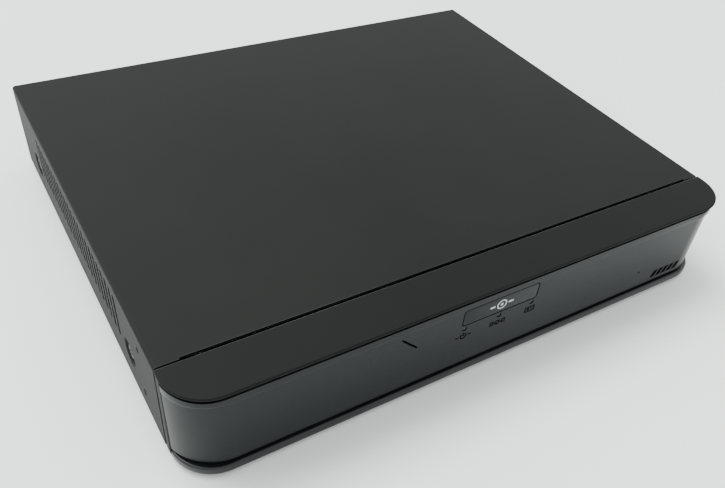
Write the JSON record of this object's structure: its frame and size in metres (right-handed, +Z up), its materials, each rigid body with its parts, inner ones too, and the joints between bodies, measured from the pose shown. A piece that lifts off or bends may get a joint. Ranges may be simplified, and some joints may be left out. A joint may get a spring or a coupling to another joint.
{
  "type": "video recorder",
  "caption": "Low rectangular video recorder: folded steel case with side vents, curved moulded front, and rear video, network and power sockets.",
  "frame": {"origin": "on the surface it stands on, under the middle of the outer box, rear sockets included", "axes": "+X to the right as seen from the front, -Y towards the front, +Z up"},
  "size_m": [0.26, 0.2294, 0.044],
  "materials": {
    "black_powder_coat": "fine-texture satin black powder coat",
    "textured_black_plastic": "fine spark-textured moulded ABS",
    "satin_black_fascia": "satin black moulded ABS",
    "gloss_black_badge": "semi-gloss black acrylic",
    "clear_light_pipe": "clear polycarbonate",
    "black_rubber": "matt",
    "black_screw": "black zinc",
    "nickel_plate": "nickel plated",
    "zinc_plated_steel": "zinc plated",
    "moulded_black_plastic": "moulded nylon",
    "switch_black_plastic": "semi-gloss nylon",
    "green_solder_mask": "glass-epoxy board with green solder mask",
    "green_terminal_plastic": "moulded nylon",
    "black_anodised_aluminium": "black anodised",
    "cast_drive_aluminium": "as cast",
    "stainless_drive_lid": "brushed",
    "polished_steel_cell": "polished steel can",
    "red_data_lead": "flexible vinyl",
    "black_power_lead": "flexible vinyl",
    "grey_ribbon_cable": "flexible vinyl"
  },
  "bodies": {
    "recorder": {"top_cover": "black_powder_coat", "base_chassis": "black_powder_coat", "front_bezel": "textured_black_plastic", "front_fascia": "satin_black_fascia", "badge_plate": "gloss_black_badge", "light_pipe_power": "clear_light_pipe", "light_pipe_network": "clear_light_pipe", "light_pipe_disk": "clear_light_pipe", "foot_front_left": "black_rubber", "foot_front_right": "black_rubber", "foot_rear_left": "black_rubber", "foot_rear_right": "black_rubber", "side_screw_left_front": "black_screw", "side_screw_left_rear": "black_screw", "side_screw_right_front": "black_screw", "side_screw_right_rear": "black_screw", "rear_screw_left": "black_screw", "rear_screw_middle": "black_screw", "rear_screw_right": "black_screw", "ground_screw": "zinc_plated_steel", "board_screw_1": "zinc_plated_steel", "board_screw_2": "zinc_plated_steel", "board_screw_3": "zinc_plated_steel", "board_screw_4": "zinc_plated_steel", "drive_screw_1": "zinc_plated_steel", "drive_screw_2": "zinc_plated_steel", "drive_screw_3": "zinc_plated_steel", "drive_screw_4": "zinc_plated_steel", "video_jack_1": "nickel_plate", "video_jack_2": "nickel_plate", "video_jack_3": "nickel_plate", "video_jack_4": "nickel_plate", "video_jack_5": "nickel_plate", "video_jack_6": "nickel_plate", "video_jack_7": "nickel_plate", "video_jack_8": "nickel_plate", "audio_jack_in": "nickel_plate", "audio_jack_out": "nickel_plate", "analogue_video_port": "nickel_plate", "digital_video_port": "nickel_plate", "data_port_stack": "nickel_plate", "network_port": "nickel_plate", "jack_housing_left": "moulded_black_plastic", "jack_housing_right": "moulded_black_plastic", "dc_inlet": "moulded_black_plastic", "power_switch_body": "moulded_black_plastic", "coin_cell_holder": "moulded_black_plastic", "buzzer": "moulded_black_plastic", "main_board": "green_solder_mask", "indicator_board": "green_solder_mask", "hard_drive_board": "green_solder_mask", "control_terminal": "green_terminal_plastic", "processor_heatsink": "black_anodised_aluminium", "hard_drive_body": "cast_drive_aluminium", "hard_drive_lid": "stainless_drive_lid", "coin_cell": "polished_steel_cell", "drive_data_lead": "red_data_lead", "drive_power_lead": "black_power_lead", "indicator_cable": "grey_ribbon_cable"},
    "power_rocker": {"power_switch_rocker": "switch_black_plastic"}
  },
  "joints": [
    {"name": "power_rocker_tilt", "type": "hinge", "parent": "recorder", "child": "power_rocker", "pos_m": [0.1105, 0.1034, 0.024], "axis": [1, 0, 0], "range_deg": [0, 18]}
  ]
}
